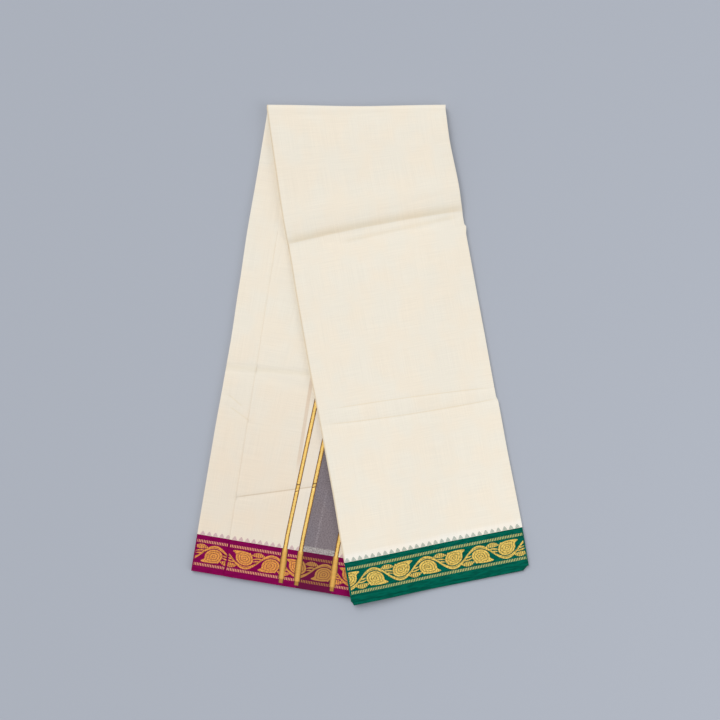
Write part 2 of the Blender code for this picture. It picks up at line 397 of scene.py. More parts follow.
def rising(axis, low, high, strength=1.0):
    """Gives the mask that rises across the weave ("x") or along it ("y"), from low to high."""
    def mask(tree, x, y):
        return ramp(tree, x if axis == "x" else y, low, high, 0.0, strength)
    return mask


def uneven(across, along, low, high, strength):
    """Gives the mask of uneven patches: their size across and along the weave, the part of the noise
    that they rise over, and how strong they are."""
    def mask(tree, x, y):
        weave = add_node(tree, "ShaderNodeUVMap", uv_map="weave").outputs["UV"]
        return ramp(tree, streaks(tree, weave, across, along), low, high, 0.0, strength)
    return mask


def mixed(tree, share, first, second, blend="MIX"):
    """Mixes two colours, each a socket or three numbers."""
    node = add_node(tree, "ShaderNodeMix", data_type="RGBA", blend_type=blend)
    for name, value in (("Factor_Float", share), ("A_Color", first), ("B_Color", second)):
        socket = next(s for s in node.inputs if s.identifier == name)
        if isinstance(value, tuple):
            socket.default_value = (*value, 1.0)
        elif isinstance(value, (int, float)):
            socket.default_value = value
        else:
            tree.links.new(value, socket)
    return next(s for s in node.outputs if s.identifier == "Result_Color")


def streaks(tree, weave, across, along):
    """Noise drawn out to threads: sizes across and along the weave, in metres."""
    stretched = add_node(tree, "ShaderNodeMapping", [(weave, "Vector")])
    stretched.inputs["Scale"].default_value = (1 / across, 1 / along, 1)
    noisy = add_node(tree, "ShaderNodeTexNoise", [(stretched.outputs[0], "Vector")])
    noisy.inputs["Scale"].default_value = 1.0
    noisy.inputs["Detail"].default_value = 2.0
    return noisy.outputs["Fac"]


def woven_cotton(name, colour, tints=(), roughness=0.82, sheen=0.15, specular=0.2, shade=0.035, relief=0.35):
    """Plain woven cotton: fine threads both ways, uneven yarn, and slight cloudiness. tints are
    (mask of (tree, x, y), colour) pairs laid over the colour."""
    material = bpy.data.materials.new(name)
    material.use_nodes = True
    tree = material.node_tree
    shader = tree.nodes["Principled BSDF"]
    weave = add_node(tree, "ShaderNodeUVMap", uv_map="weave").outputs["UV"]
    place = add_node(tree, "ShaderNodeSeparateXYZ", [(weave, "Vector")])
    x, y = place.outputs["X"], place.outputs["Y"]
    tone = colour
    for mask, tint in tints:
        tone = mixed(tree, mask(tree, x, y), tone, tint)
    warp = streaks(tree, weave, *WARP_YARN)
    weft = streaks(tree, weave, *WEFT_YARN)
    grey = ramp(tree, maths(tree, "ADD", warp, weft), *YARN_NOISE, 1 - shade, 1 + shade)
    tone = mixed(tree, 1.0, tone, grey, "MULTIPLY")
    cloud = ramp(tree, streaks(tree, weave, *CLOUDS), *CLOUD_NOISE)
    tone = mixed(tree, 1.0, tone, mixed(tree, cloud, COOL_CLOUD, WARM_CLOUD), "MULTIPLY")
    tree.links.new(tone, shader.inputs["Base Color"])
    threads = maths(tree, "MULTIPLY",
                    maths(tree, "SINE", maths(tree, "MULTIPLY", x, math.tau / THREAD_PITCH)),
                    maths(tree, "SINE", maths(tree, "MULTIPLY", y, math.tau / THREAD_PITCH)))
    threads = maths(tree, "MULTIPLY", threads, THREAD_SHARE)
    height = maths(tree, "ADD", threads, maths(tree, "ADD", warp, weft))
    bump = add_node(tree, "ShaderNodeBump", [(height, "Height")])
    bump.inputs["Strength"].default_value = relief
    bump.inputs["Distance"].default_value = WEAVE_DEPTH
    tree.links.new(bump.outputs["Normal"], shader.inputs["Normal"])
    shader.inputs["Roughness"].default_value = roughness
    shader.inputs["Sheen Weight"].default_value = sheen
    shader.inputs["Sheen Roughness"].default_value = 0.4
    shader.inputs["Specular IOR Level"].default_value = specular
    return material


def above_borders(tree, x, y):
    """The whiter strip beside each border, on the outer cloth."""
    starts = FRONT_TOP_SEAM - WHITE_STRIP
    green = ramp(tree, y, starts - 4 * MM, starts + 3 * MM)
    starts = -SEAM - math.pi * WRAP_OUTER + WHITE_STRIP
    return maths(tree, "MAXIMUM", green, ramp(tree, y, starts, starts - 3 * MM))


def crease_shade(left, right, bow, above, below):
    """Gives the mask of a crease's painted shade, which fades at both ends: where they lie across and along
    the weave, the bow of its middle, and how far it reaches to its two sides, in millimetres."""
    (x0, y0), (x1, y1) = Vector(left) * MM, Vector(right) * MM
    length = math.hypot(x1 - x0, y1 - y0)
    run_x, run_y = (x1 - x0) / length, (y1 - y0) / length

    def mask(tree, x, y):
        dx, dy = maths(tree, "SUBTRACT", x, x0), maths(tree, "SUBTRACT", y, y0)
        along = maths(tree, "ADD", maths(tree, "MULTIPLY", dx, run_x), maths(tree, "MULTIPLY", dy, run_y))
        along = maths(tree, "DIVIDE", along, length)
        curve = maths(tree, "MULTIPLY", along, maths(tree, "SUBTRACT", 1.0, along))
        off = maths(tree, "SUBTRACT", maths(tree, "MULTIPLY", dy, run_x), maths(tree, "MULTIPLY", dx, run_y))
        off = maths(tree, "ADD", off, maths(tree, "MULTIPLY", curve, 4 * bow * MM))
        tone = maths(tree, "MULTIPLY", ramp(tree, off, -above * MM, 0), ramp(tree, off, below * MM, 0))
        return maths(tree, "MULTIPLY", tone, band(tree, along, 0.03, 0.97, 0.05))
    return mask


# The pressed fold along the left side, a little darker with painted shade where its rounded edge turns down
fold_shade = rising("x", FOLD_SHADE_FROM - STRIP_WIDTH / 2, FOLD_SHADE_FULL - STRIP_WIDTH / 2)


def rows_down(leg, start, end, pitch):
    """Stations down a leg from start to end, about pitch apart."""
    return [(leg, v) for v in steps(start, end, max(1, round((end - start) / pitch)))]


def over_the_fold(back_end, front_end, back_pitch, front_pitch, bend=16):
    """Stations from the back leg's end, up over the fold and down to the front leg's end."""
    over = [("bend", math.pi * n / bend) for n in range(1, bend)]
    back, front = rows_down("back", 0, back_end, back_pitch), rows_down("front", 0, front_end, front_pitch)
    return back[::-1] + over + front


def dress(piece, material, slot, *nodes):
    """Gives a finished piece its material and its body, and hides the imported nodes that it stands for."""
    piece.data.materials.append(material)
    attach(piece, "root")
    if nodes:
        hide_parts(*nodes)


UNDERSIDE = WRAP_OUTER - THREAD_ROOM
cream_cotton = woven_cotton("cream_cotton", CREAM, [
    # The whiter strip by each border, and painted shade along the left fold and along the creases
    (above_borders, WHITER_CREAM), (fold_shade, FOLD_SHADE_CREAM),
    (crease_shade((-122, 154.4), (122, 151), 3, 13, 1.5), CREASE_SHADE_TAN),
    (crease_shade((-44, 163.6), (110, 157.5), 0, 5, 4), SOFT_SHADE_TAN),
    (crease_shade((-105, 389.6), (118, 396.8), -2.5, 1.8, 0.6), CREASE_SHADE_TAN),
    (crease_shade((-92, 371.0), (109, 381.0), 1.5, 1.5, 0.5), CREASE_SHADE_TAN),
])
outer_rows = over_the_fold(SEAM, FRONT_TOP_SEAM, 10 * MM, 2.2 * MM)
outer_cloth = flat_tube(
    "outer_cloth_sheet", outer_rows, WRAP_INNER, UNDERSIDE, sides_at, FINE_FACES, ("outer", "front"))
dress(outer_cloth, cream_cotton, "cream_cotton", "outer_cloth")

# Green border: the selvedge end of the outer cloth, woven in dark green cotton. Gold metallic
# thread, zari, is woven into it: two rows of upright ticks, and between them a waved double stem
# with a round leaf under each crest and over each trough, its tip drawn out to the right.

GREEN, DEEP_GREEN = (0.0, 0.118, 0.079), (0.0, 0.068, 0.047)
GOLD, GOLD_SHADE = (0.94, 0.655, 0.145), (0.44, 0.29, 0.05)
PALE_GOLD = (0.74, 0.67, 0.24)
ZARI_LIFT, ZARI_BODY = 0.09 * MM, 0.07 * MM
PLAIN_SIDE = 2.5 * MM
SCROLL_SWING, SCROLL_PERIOD = 10.7 * MM, 69.2 * MM
STEM_LINES = ({"beside": 0.0, "width": 2.1 * MM}, {"beside": 2.1 * MM, "width": 0.9 * MM})
TICK = {"pitch": 2.15 * MM, "width": 0.85 * MM, "height": 3.4 * MM}
GREEN_LAYOUT = {"crest": 34.4 * MM, "middle": 26.0 * MM, "ticks": (9.1 * MM, 39.9 * MM)}

# A leaf, in millimetres from the stem's crest: its round body, and the rings of thread that fill it,
# as shares of its size
LEAF = {"middle": (1.4, -12.8), "long": 11.4, "short": 8.7, "turn": math.radians(-14)}
LEAF_RINGS = ((0.77, 1.0), (0.48, 0.72), (0.20, 0.43), (0.0, 0.15))
# Its drawn-out tip and a barb: where round the body, how far out, how wide either way, and how round
LEAF_POINTS = (
    {"at": math.radians(-41), "reach": (8.4, -0.5), "before": 0.55, "after": 0.38, "round": 2.2},
    {"at": math.radians(-122), "reach": (1.2, -3.2), "before": 0.16, "after": 0.16, "round": 1.0},
)
POINTS_INSIDE = 0.5
# The spray of narrow leaves beyond it, with half their width, and how much of a dash is thread
SPRAY = (
    {"base": (9.8, -2.8), "bend": (18.0, -0.6), "tip": (27.2, -3.3), "half": 3.0, "dashes": 7},
    {"base": (13.6, -6.6), "bend": (19.0, -6.2), "tip": (25.4, -8.6), "half": 0.9, "dashes": 1},
    {"base": (16.8, -10.0), "bend": (20.0, -9.8), "tip": (24.8, -11.6), "half": 0.8, "dashes": 1},
)
DASH_SOLID = 0.74


def add_patch(threads, columns, rows, place):
    """Adds a patch of woven thread: place(s, t), both from 0 to 1, gives it along and up a border."""
    grid = bmesh.ops.create_grid(threads, x_segments=columns, y_segments=rows, size=0.5)
    for vert in grid["verts"]:
        along, up = place(vert.co.x + 0.5, vert.co.y + 0.5)
        vert.co = (along, up, 0)


def leaf_edge(turn, scale, points):
    """A place on a leaf's edge, or on a smaller one with shorter points. turn runs from 0 to 1."""
    angle = math.tau * turn
    x, y = LEAF["long"] * math.cos(angle), LEAF["short"] * math.sin(angle)
    cos, sin = math.cos(LEAF["turn"]), math.sin(LEAF["turn"])
    edge = Vector((x * cos - y * sin, x * sin + y * cos))
    for point in LEAF_POINTS:
        off = (angle - point["at"] + math.pi) % math.tau - math.pi
        width = point["before"] if off < 0 else point["after"]
        edge += Vector(point["reach"]) * (points * math.exp(-((abs(off) / width) ** point["round"])))
    return Vector(LEAF["middle"]) + edge * scale


def spray_place(leaf, s, t):
    """A place in a narrow leaf, s from its base to its tip and t from -1 to 1 across it."""
    base, bend, tip = Vector(leaf["base"]), Vector(leaf["bend"]), Vector(leaf["tip"])
    run = ((bend - base) * (1 - s) + (tip - bend) * s).normalized()
    middle = base.lerp(bend, s).lerp(bend.lerp(tip, s), s)
    return middle + Vector((-run.y, run.x)) * (t * leaf["half"] * max(0.0, math.sin(math.pi * s)) ** 0.8)


def dashed(count):
    """Even dashes from 0 to 1: where each starts and how long it is. One dash is all of it."""
    solid = DASH_SOLID if count > 1 else 1.0
    return [((n + (1 - solid) / 2) / count, solid / count) for n in range(count)]


def add_leaves(threads, to_border):
    """Adds the leaf and the spray that go with one crest of the stem."""
    for inner, outer in LEAF_RINGS:
        full = 1.0 if outer == 1.0 else POINTS_INSIDE

        def ring_place(s, t):
            points = POINTS_INSIDE + (full - POINTS_INSIDE) * t
            return to_border(leaf_edge(s, inner + (outer - inner) * t, points))
        add_patch(threads, 60, 1, ring_place)
    for leaf in SPRAY:
        for start, long in dashed(leaf["dashes"]):
            def dash_place(s, t):
                return to_border(spray_place(leaf, start + long * s, 2 * t - 1))
            add_patch(threads, max(2, 12 // leaf["dashes"]), 2, dash_place)


def border_threads(width, layout):
    """The gold of one border, drawn flat: the stem's two lines, the leaves, and the ticks."""
    threads = bmesh.new()
    crest, middle = layout["crest"], layout["middle"]

    def swing(along):
        return math.cos(math.tau * (along - crest) / SCROLL_PERIOD)

    for line in STEM_LINES:
        def stem(s, t):
            along = width * s
            slope = (swing(along + MM) - swing(along - MM)) * SCROLL_SWING / (2 * MM)
            off = (t - 0.5) * line["width"] - line["beside"] * swing(along)
            off /= math.hypot(1, slope)
            return along - off * slope, middle + SCROLL_SWING * swing(along) + off
        add_patch(threads, round(width / MM), 1, stem)
    first = -math.ceil(crest / SCROLL_PERIOD * 2) - 1
    last = math.ceil((width - crest) / SCROLL_PERIOD * 2) + 1
    for n in range(first, last):
        side = 1 if n % 2 == 0 else -1
        start = crest + n * SCROLL_PERIOD / 2
        add_leaves(threads, lambda p: (start + p.x * MM, middle + side * (SCROLL_SWING + p.y * MM)))
    for foot in layout["ticks"]:
        for n in range(int(width / TICK["pitch"])):
            start = (n + 0.5) * TICK["pitch"] - TICK["width"] / 2
            add_patch(threads, 1, 1, lambda s, t: (start + TICK["width"] * s, foot + TICK["height"] * t))
    for edge, outwards in ((PLAIN_SIDE, -1), (width - PLAIN_SIDE, 1)):
        bmesh.ops.bisect_plane(
            threads, geom=threads.verts[:] + threads.edges[:] + threads.faces[:], dist=1e-7,
            plane_co=(edge, 0, 0), plane_no=(outwards, 0, 0), clear_outer=True)
    bmesh.ops.remove_doubles(threads, verts=threads.verts, dist=1e-6)
    return threads


def lay_threads(name, threads, place, turned=False):
    """Lays flat-drawn threads on the cloth: place(along, up) gives the point and the place in the
    weave. turned says that this turns their faces over."""
    bmesh.ops.triangulate(threads, faces=threads.faces)
    if turned:
        bmesh.ops.reverse_faces(threads, faces=threads.faces)
    weave = threads.loops.layers.uv.new("weave")
    places = {vert: place(vert.co.x, vert.co.y) for vert in threads.verts}
    for face in threads.faces:
        for loop in face.loops:
            loop[weave].uv = places[loop.vert][1]
    for vert, (point, _) in places.items():
        vert.co = point + FOLD_MIDDLE
    mesh = bpy.data.meshes.new(name)
    threads.to_mesh(mesh)
    threads.free()
    piece = bpy.data.objects.new(name, mesh)
    bpy.context.scene.collection.objects.link(piece)
    thicken(piece, ZARI_BODY)
    return piece


# Where gold thread turns away from the light, and the uneven dyeing of a border
glints = uneven(across=1.2 * MM, along=2.4 * MM, low=0.45, high=0.60, strength=0.9)
darker_weft = uneven(across=14 * MM, along=2.4 * MM, low=0.42, high=0.62, strength=0.8)


def zari(name, colour, shade, tints=()):
    """Gold metallic thread: bright floats that catch the light unevenly, and darker between them."""
    material = woven_cotton(
        name, colour, [(glints, shade), *tints],
        roughness=0.42, sheen=0.0, specular=0.4, shade=0.12, relief=0.6)
    material.node_tree.nodes["Principled BSDF"].inputs["Metallic"].default_value = 0.35
    return material


def tick_rows(selvedge, feet):
    """Gives the mask of a border's two rows of ticks, from where its selvedge lies down the leg."""
    def mask(tree, x, y):
        low, high = (band(tree, y, selvedge - foot - TICK["height"] - MM, selvedge - foot + MM, 0.3 * MM)
                     for foot in feet)
        return maths(tree, "MAXIMUM", low, high)
    return mask


def on_green_border(along, up):
    """A place on the green border, from its left side and up from its selvedge."""
    v = FRONT_TOP_END - up
    u = sides_at(("front", v))[0] + along
    return spot(("front", v), u, UNDERSIDE + ZARI_LIFT, 1.0), (u, v)


border_rows = rows_down("front", FRONT_TOP_SEAM, FRONT_TOP_END, 2 * MM)
green_cotton = woven_cotton(
    "green_cotton", GREEN, [(darker_weft, DEEP_GREEN)], roughness=0.7, sheen=0.0, specular=0.03, shade=0.06)
green_border = flat_tube(
    "green_border_sheet", border_rows, WRAP_INNER, UNDERSIDE, sides_at, FINE_FACES, ("outer", "front"))
dress(green_border, green_cotton, "green_cotton", "green_border")
green_tick_rows = tick_rows(FRONT_TOP_END, GREEN_LAYOUT["ticks"])
gold_zari = zari("gold_zari", GOLD, GOLD_SHADE, [(green_tick_rows, PALE_GOLD)])
green_zari = lay_threads("green_border_zari", border_threads(STRIP_WIDTH, GREEN_LAYOUT), on_green_border)
dress(green_zari, gold_zari, "gold_zari")

# Temple rows: small hatched triangles along each border, woven into the whiter strip of cream
# cloth beside it, in a dull tone of the border's colour.

TEMPLE = {"pitch": 8.25 * MM, "width": 6.0 * MM, "height": 5.0 * MM, "above": 0.5 * MM}
TEMPLE_BARS, TEMPLE_BAR_SOLID = 5, 0.66
DULL_GREEN = (0.33, 0.40, 0.345)


def temple_threads(width, border, start, gap=(0, 0)):
    """A row of triangles drawn flat, each of some bars that narrow to its top, with none in a gap."""
    threads = bmesh.new()
    bar = TEMPLE["height"] / TEMPLE_BARS
    for n in range(int((width - start) / TEMPLE["pitch"])):
        middle = (n + 0.5) * TEMPLE["pitch"] + start
        if gap[0] < middle < gap[1]:
            continue
        for m in range(TEMPLE_BARS):
            half = TEMPLE["width"] / 2 * (1 - (m / TEMPLE_BARS) ** 1.4)
            foot = border + TEMPLE["above"] + bar * m
            add_patch(threads, 1, 1, lambda s, t: (
                middle + half * (2 * s - 1), foot + bar * TEMPLE_BAR_SOLID * t))
    return threads


green_temples = lay_threads(
    "green_temple_row", temple_threads(STRIP_WIDTH, GREEN_BORDER_WIDTH, start=0.2 * MM), on_green_border)
dull_green = woven_cotton("dull_green", DULL_GREEN, roughness=0.8, sheen=0.0)
dress(green_temples, dull_green, "green_cotton")

# Underside border: the other selvedge end of the outer cloth, woven in magenta cotton with the
# same gold scroll, its leaves the other way round. It lies on the table.

MAGENTA, DEEP_MAGENTA = (0.222, 0.0, 0.073), (0.170, 0.0, 0.053)
MAGENTA_TICKS = (8.3 * MM, 38.4 * MM)
ORANGE_GOLD, ORANGE_SHADE = (0.88, 0.37, 0.075), (0.50, 0.18, 0.035)
PINKISH_GOLD = (1.0, 0.47, 0.25)
UNDERSIDE_LAYOUT = {"crest": 40 * MM, "middle": 24.8 * MM, "ticks": MAGENTA_TICKS}


def on_back_leg(sides, r, skin, across=None):
    """Gives the placing of threads on the back leg, from its right side and up from its selvedge."""
    def place(along, up):
        v = LEG_LENGTH - up
        u = sides(("back", v))[1] - along
        return spot(("back", v), u, r, skin), (across(u, v) if across else u, v)
    return place


BORDER_FINISH = {"roughness": 0.7, "sheen": 0.0, "specular": 0.06, "shade": 0.06}
magenta_cotton = woven_cotton("magenta_cotton", MAGENTA, [(darker_weft, DEEP_MAGENTA)], **BORDER_FINISH)
underside_rows = rows_down("back", SEAM, LEG_LENGTH, 4 * MM)
underside_border = flat_tube(
    "underside_border_sheet", underside_rows, WRAP_INNER, UNDERSIDE, sides_at, FINE_FACES, ("outer", "front"))
dress(underside_border, magenta_cotton, "magenta_cotton", "underside_magenta_border")
underside_zari = lay_threads(
    "underside_border_zari", border_threads(STRIP_WIDTH, UNDERSIDE_LAYOUT),
    on_back_leg(sides_at, UNDERSIDE + ZARI_LIFT, 0.0))
magenta_tick_rows = tick_rows(LEG_LENGTH, MAGENTA_TICKS)
orange_zari = zari("orange_zari", ORANGE_GOLD, ORANGE_SHADE, [(magenta_tick_rows, PINKISH_GOLD)])
dress(underside_zari, orange_zari, "gold_zari")

# Inner layers: the twelve panels inside the outer cloth, folded to and fro into six flat tubes
# that go over the fold together. Their sides and dyed ends don't quite line up, and the topmost
# one on the back leg shows, with its magenta border, at the left.

# How far each tube's sides, green end and magenta end stand out, from the middle plane outwards
INNER_TUBES = (
    {"side": -0.3, "green": -0.4, "magenta": 0.0},
    {"side": -1.3, "green": -1.2, "magenta": -0.9},
    {"side": -0.2, "green": 0.4, "magenta": 0.3},
    {"side": -1.0, "green": -0.8, "magenta": -0.6},
    {"side": -0.4, "green": 0.1, "magenta": 0.4},
    {"side": -1.1, "green": -0.6, "magenta": -0.5},
)
INNER_PITCH = (CORE_OUTER - CORE_INNER) / len(INNER_TUBES)
INNER_BODY = INNER_PITCH - 0.05 * MM
CORNER_LENGTH = 6 * MM
GREEN_CORNERS = {"left": 2.5 * MM, "right": 7.5 * MM}
STRIP_LAYOUT = {"crest": STRIP_WIDTH - 27.4 * MM, "middle": 24.8 * MM, "ticks": MAGENTA_TICKS}
END_CREAM = (0.815, 0.725, 0.605)
# The back leg's cream is darker and a little yellower towards its end
darker_towards_end = rising("y", -0.25, -0.56)
DULL_MAGENTA = (0.55, 0.36, 0.40)
SHOWN_FACES, HIDDEN_FACES = 60, 16
SHOWN_PITCH, HIDDEN_PITCH, HIDDEN_BEND = 2.5 * MM, 14 * MM, 10


def tube_sides(out):
    """The two sides of an inner tube, drawn in at the corners of its green end."""
    def sides(station):
        leg, v = station
        left, right = sides_at(station)
        near_end = max(0.0, 1 - (LEG_LENGTH - v) / CORNER_LENGTH) if leg == "front" else 0.0
        return (left - out * MM + GREEN_CORNERS["left"] * near_end,
                right + out * MM - GREEN_CORNERS["right"] * near_end)
    return sides


def joined(name, pieces):
    """Joins pieces into the first of them."""
    bpy.ops.object.select_all(action="DESELECT")
    for piece in pieces:
        piece.select_set(True)
    bpy.context.view_layer.objects.active = pieces[0]
    bpy.ops.object.join()
    pieces[0].name = pieces[0].data.name = name
    return pieces[0]


creams, greens, magentas = [], [], []
for number, tube in enumerate(INNER_TUBES):
    inner = CORE_INNER + INNER_PITCH * number
    columns, pitch = (SHOWN_FACES, SHOWN_PITCH) if number == 0 else (HIDDEN_FACES, HIDDEN_PITCH)
    stations = over_the_fold(SEAM, SEAM, pitch, HIDDEN_PITCH, HIDDEN_BEND)
    magenta_rows = rows_down("back", SEAM, LEG_LENGTH + tube["magenta"] * MM, 4 * MM)
    green_rows = rows_down("front", SEAM, LEG_LENGTH + tube["green"] * MM, 3 * MM)
    sides = tube_sides(tube["side"])
    for pieces, rows in ((creams, stations), (greens, green_rows), (magentas, magenta_rows)):
        pieces.append(flat_tube(
            f"tube_{number}", rows, inner, inner + INNER_BODY, sides, columns, ("inner", "back")))

inner_layers = joined("inner_layers_sheets", creams)
inner_green_ends = joined("inner_green_ends_sheets", greens)
inner_magenta_ends = joined("inner_magenta_ends_sheets", magentas)
inner_cotton = woven_cotton("inner_cotton", CREAM, [
    (darker_towards_end, END_CREAM),
    # Painted shade along the back leg's creases
    (crease_shade((-118, -357), (-70, -354), 0, 6, 6), SOFT_SHADE_TAN),
    (crease_shade((-107, -392.5), (-88, -404), 0, 1.4, 1.4), CREASE_SHADE_TAN),
    (crease_shade((-103, -407.5), (-70, -423.5), 0, 1.4, 1.4), CREASE_SHADE_TAN),
])
dress(inner_layers, inner_cotton, "cream_cotton", "inner_layers")
dress(inner_green_ends, green_cotton, "green_cotton", "inner_green_ends")
dress(inner_magenta_ends, magenta_cotton, "magenta_cotton", "inner_magenta_ends")

on_strip = on_back_leg(sides_at, CORE_INNER - ZARI_LIFT, 1.0)
dull_magenta = woven_cotton("dull_magenta", DULL_MAGENTA, roughness=0.8, sheen=0.0)
strip_zari = lay_threads(
    "strip_border_zari", border_threads(STRIP_WIDTH, STRIP_LAYOUT), on_strip, turned=True)
strip_temples = lay_threads(
    "strip_temple_row", temple_threads(STRIP_WIDTH, BORDER_WIDTH, start=-1.0 * MM), on_strip, turned=True)
dress(strip_zari, orange_zari, "gold_zari")
dress(strip_temples, dull_magenta, "magenta_cotton")

# Loose end: the cloth's end, two layers folded at their left side, lying between the two legs.
# Three gold stripes with brown edges cross it from border to border. The cloth is whiter between
# the first two, and grey tissue between the last two, where the border is darker too.

STRIPE_TILT = 0.05
LEANS_BACK, LEANS_BACK_FROM = 0.028, SEAM - 20 * MM
STRIPES = {"first": 0 * MM, "second": 20.3 * MM, "third": 66.2 * MM}
FIRST_STRIPE_AT = -2.1 * MM
LOOSE_STARTS = 9 * MM
# How far its sides lie inside the strip's, in millimetres, the left one by more towards the border
LOOSE_LEFT, LOOSE_TAPER, LOOSE_RIGHT = 36.5, 6.5, 4
LOOSE_FACES = 54
STRIPE_EDGE = 0.8 * MM
STRIPE_GOLD, STRIPE_SHADE = (0.88, 0.49, 0.12), (0.46, 0.23, 0.045)
STRIPE_BRIGHT, STRIPE_RIM = (1.0, 0.70, 0.20), (0.50, 0.235, 0.05)
STRIPE_DULL = (0.74, 0.40, 0.085)
STRIPE_BROWN = (0.13, 0.065, 0.033)
TISSUE_GONE, TISSUE_FULL = 6.2 * MM, 8.2 * MM
STREAK_ACROSS, STREAK_ALONG = (36.5 * MM, 39.0 * MM), (-0.48, -0.53)
GHOST_ACROSS, GHOST_FADES_IN = (-8.2 * MM, -3.8 * MM), (-0.480, -0.450)
GHOST_TILT, GHOST_PIVOT = 0.055, 0.458
TISSUE = (0.232, 0.198, 0.217)
TISSUE_STREAK = (0.30, 0.262, 0.284)
TISSUE_GRAIN = (0.150, 0.126, 0.140)
TISSUE_END = (0.44, 0.41, 0.40)
BETWEEN_STRIPES = (0.815, 0.735, 0.63)
PINK_GHOST = (0.745, 0.625, 0.50)
DARK_BORDER = (0.125, 0.005, 0.043)
DARK_GOLD = (0.50, 0.235, 0.055)


def stripe_line(v):
    """Where the first stripe lies across the leg; the others keep their distance from it."""
    leans_back = LEANS_BACK * max(0.0, v - LEANS_BACK_FROM)
    return FIRST_STRIPE_AT + STRIPE_TILT * max(0.0, SEAM - v) + leans_back


def across_stripes(u, v):
    """A place across the loose end, counted from the first stripe."""
    return u - stripe_line(v)


def loose_sides(station):
    """The folded left side of the loose end, and its right side under the front leg."""
    v = station[1]
    half = strip_width(v) / 2
    return -half + (LOOSE_LEFT + LOOSE_TAPER * v / LEG_LENGTH) * MM, half - LOOSE_RIGHT * MM


def between(first, second):
    """Gives the mask of the cloth between two stripes."""
    return lambda tree, x, y: band(tree, x, STRIPES[first], STRIPES[second], 0.3 * MM)


whiter_between, past_second_stripe = between("first", "second"), between("second", "third")


def tissue(tree, x, y):
    """The grey tissue, which ends a little above the border."""
    above_border = ramp(tree, y, TISSUE_GONE - SEAM, TISSUE_FULL - SEAM)
    return maths(tree, "MULTIPLY", past_second_stripe(tree, x, y), above_border)


def tissue_streak(tree, x, y):
    """A paler thread line along the tissue, clearer towards the border."""
    line = maths(tree, "MULTIPLY", band(tree, x, *STREAK_ACROSS, 1.2 * MM), tissue(tree, x, y))
    return maths(tree, "MULTIPLY", line, ramp(tree, y, *STREAK_ALONG, 0.2, 1.0))


def tissue_grain(tree, x, y):
    """The open weave of the tissue, where the dark ground shows between its threads."""
    open_weave = uneven(across=1.5 * MM, along=1.7 * MM, low=0.42, high=0.62, strength=0.75)
    return maths(tree, "MULTIPLY", open_weave(tree, x, y), past_second_stripe(tree, x, y))


def ghost_band(tree, x, y):
    """A faint pink band on the cream, where a stripe of the layer beneath shows through."""
    tilted = maths(tree, "MULTIPLY", maths(tree, "ADD", y, GHOST_PIVOT), GHOST_TILT)
    across = band(tree, maths(tree, "ADD", x, tilted), *GHOST_ACROSS, 0.4 * MM)
    return maths(tree, "MULTIPLY", across, ramp(tree, y, *GHOST_FADES_IN))


loose_rows = rows_down("back", LOOSE_STARTS, SEAM, 2.5 * MM)
loose_border_rows = rows_down("back", SEAM, LEG_LENGTH, 2.5 * MM)
loose_end, magenta_border = (
    flat_tube(name, rows, -LOOSE_HALF, LOOSE_HALF, loose_sides, LOOSE_FACES, ("inner", "back"),
              across_stripes)
    for name, rows in (("loose_end_sheet", loose_rows), ("magenta_border_sheet", loose_border_rows)))
loose_cotton = woven_cotton("loose_end_cotton", CREAM, [
    (darker_towards_end, END_CREAM), (ghost_band, PINK_GHOST), (whiter_between, BETWEEN_STRIPES),
    # Painted shade along two creases of the loose end
    (crease_shade((-90, -352), (-10, -345.5), 0, 6, 6), SOFT_SHADE_TAN),
    (crease_shade((-76, -517.6), (52, -478.4), 0, 1.3, 1.3), CREASE_SHADE_BROWN),
    (past_second_stripe, TISSUE_END), (tissue, TISSUE), (tissue_streak, TISSUE_STREAK),
    (tissue_grain, TISSUE_GRAIN)])
loose_magenta = woven_cotton(
    "loose_end_magenta", MAGENTA, [(darker_weft, DEEP_MAGENTA), (past_second_stripe, DARK_BORDER)],
    **BORDER_FINISH)
dress(loose_end, loose_cotton, "cream_cotton", "loose_end")
dress(magenta_border, loose_magenta, "magenta_cotton", "magenta_border")

on_loose_end = on_back_leg(loose_sides, -LOOSE_HALF - ZARI_LIFT, 1.0, across_stripes)
loose_left, loose_right = loose_sides(("back", LEG_LENGTH))
loose_width = loose_right - loose_left
LOOSE_LAYOUT = {"crest": loose_width - 58.8 * MM, "middle": 24.8 * MM, "ticks": MAGENTA_TICKS}
loose_zari = lay_threads(
    "loose_border_zari", border_threads(loose_width, LOOSE_LAYOUT), on_loose_end, turned=True)
tissue_right, tissue_left = (
    loose_right - stripe_line(SEAM) - STRIPES[name] for name in ("third", "second"))
loose_temples = lay_threads(
    "loose_temple_row",
    temple_threads(loose_width, BORDER_WIDTH, start=2.8 * MM, gap=(tissue_right, tissue_left)),
    on_loose_end, turned=True)
loose_zari_gold = zari("loose_end_zari", ORANGE_GOLD, ORANGE_SHADE, [
    (magenta_tick_rows, PINKISH_GOLD), (past_second_stripe, DARK_GOLD)])
dress(loose_zari, loose_zari_gold, "gold_zari")
dress(loose_temples, dull_magenta, "magenta_cotton")

# Gold stripes: ribbons of gold thread woven across the loose end between lines of dark brown. They
# widen over the border in steps and end in a short tongue above the selvedge.

# The stripe's parts, from the selvedge up: where each starts and half its width, in millimetres
STRIPE_PARTS = (
    {"from": 3.5, "half": 2.2},
    {"from": 9, "half": 3.4},
    {"from": 20, "half": 3.7},
    {"from": 36, "half": 3.1},
    {"from": 48, "half": 2.0},
)
STRIPE_TOP = LEG_LENGTH - LOOSE_STARTS - 2 * MM
EDGE_LIFT, STRIPE_LIFT = 0.14 * MM, 0.20 * MM
BRIGHT_HALF, RIM_FROM = 1.1 * MM, 2.3 * MM
# The part over the border, which is duller, and the brown tongue above the selvedge
stripe_on_border = rising("y", SEAM - 2 * MM, SEAM + 6 * MM, 0.8)
stripe_tongue = rising("y", LEG_LENGTH - 10 * MM, LEG_LENGTH - 7.5 * MM)
